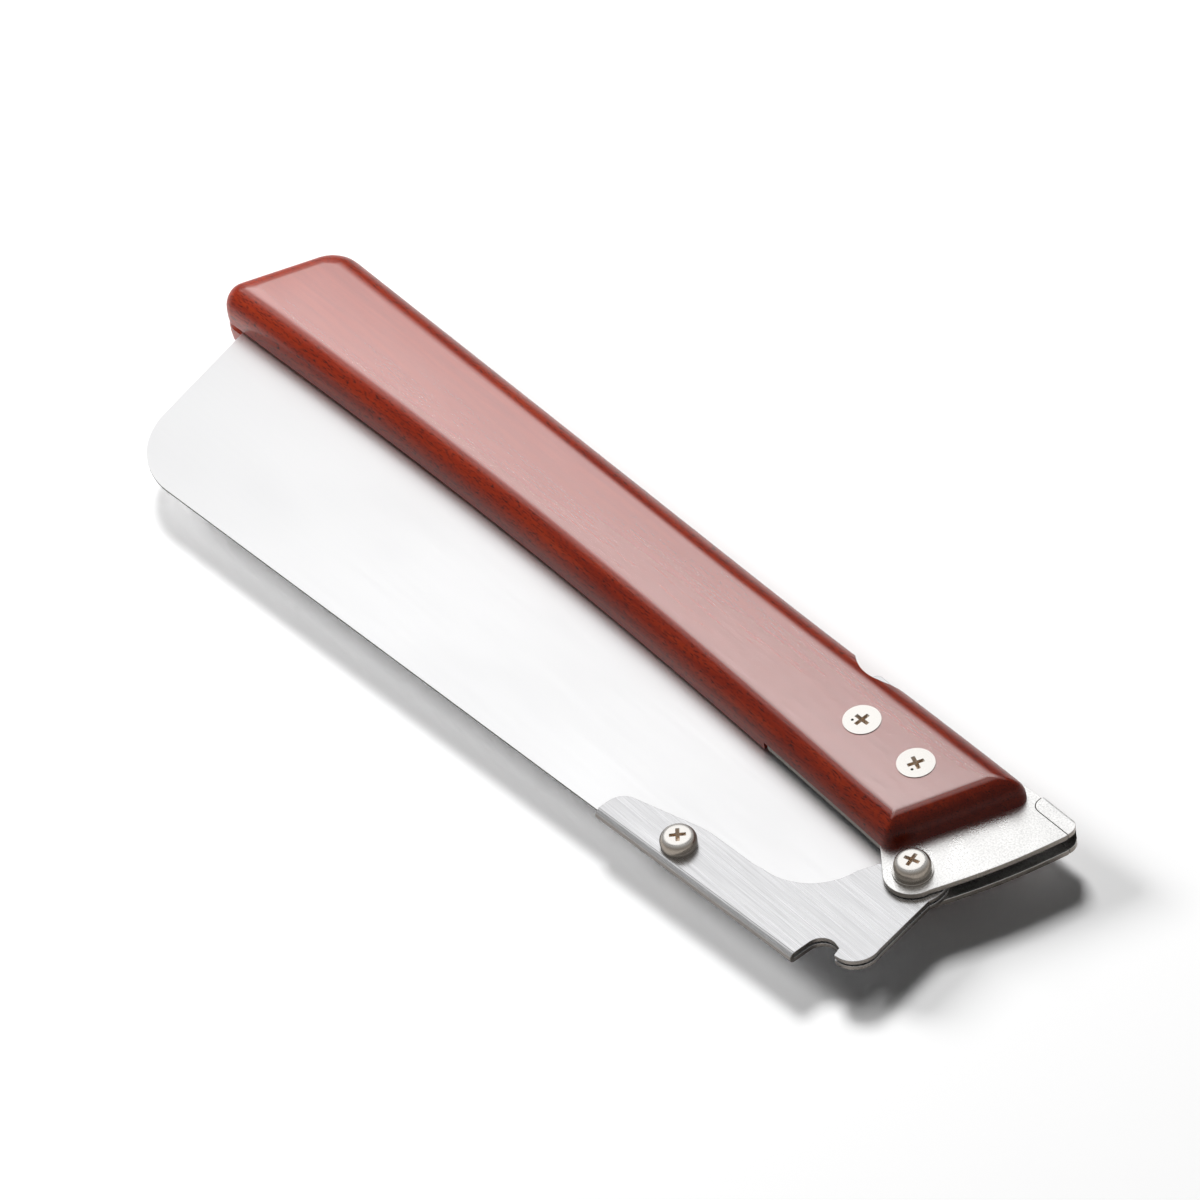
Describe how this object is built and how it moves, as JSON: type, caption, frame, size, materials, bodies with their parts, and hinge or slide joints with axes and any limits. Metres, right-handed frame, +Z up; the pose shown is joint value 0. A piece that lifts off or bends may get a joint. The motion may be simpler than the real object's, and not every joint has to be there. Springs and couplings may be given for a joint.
{
  "type": "folding pull saw",
  "caption": "Folding single-edge pull saw: slotted red-brown wooden handle, steel side plates with a sprung lock lever, and a toothed blade in a folded steel holder.",
  "frame": {"origin": "middle of the handle's flat underside, on the surface the folded saw lies on", "axes": "+X along the handle from the butt to the pivot end, +Y from the slotted front edge to the handle's back, +Z up through the handle's thickness"},
  "size_m": [0.3002, 0.0888, 0.0232],
  "materials": {
    "stained_wood": "red-brown stained beech under a glossy clear coat",
    "plate_steel": "satin, bead-blasted",
    "holder_steel": "brushed along the fold",
    "blade_steel": "bright plated, near mirror",
    "fastener_steel": "bright zinc plated",
    "bushing_brass": "turned",
    "lever_steel": "satin",
    "spring_steel": "blued spring wire"
  },
  "bodies": {
    "handle_unit": {"handle": "stained_wood", "upper_plate": "plate_steel", "lower_plate": "plate_steel", "stop_bridge": "plate_steel", "pivot_screw": "fastener_steel", "pivot_spring_washer": "fastener_steel", "pivot_flat_washer": "fastener_steel", "pivot_bushing": "bushing_brass", "pivot_nut": "fastener_steel", "lever_pin": "fastener_steel", "lock_spring": "spring_steel", "spring_pin": "fastener_steel", "front_screw": "fastener_steel", "rear_screw": "fastener_steel", "front_nut": "fastener_steel", "rear_nut": "fastener_steel", "front_spacer": "fastener_steel", "rear_spacer": "fastener_steel"},
    "blade_unit": {"blade_holder": "holder_steel", "blade": "blade_steel", "blade_screw": "fastener_steel", "blade_washer": "fastener_steel", "blade_nut": "fastener_steel"},
    "lever_unit": {"lock_lever": "lever_steel"}
  },
  "joints": [
    {"name": "blade_fold", "type": "hinge", "parent": "handle_unit", "child": "blade_unit", "pos_m": [0.13995, -0.018, 0.0115], "axis": [0, 0, 1], "range_deg": [0, 176.5]},
    {"name": "lever_press", "type": "hinge", "parent": "handle_unit", "child": "lever_unit", "pos_m": [0.11195, 0.0155, 0.0115], "axis": [0, 0, 1], "range_deg": [-6.1, 4.5], "stiffness_Nm_per_rad": 1, "deforming": ["lock_spring"]}
  ]
}
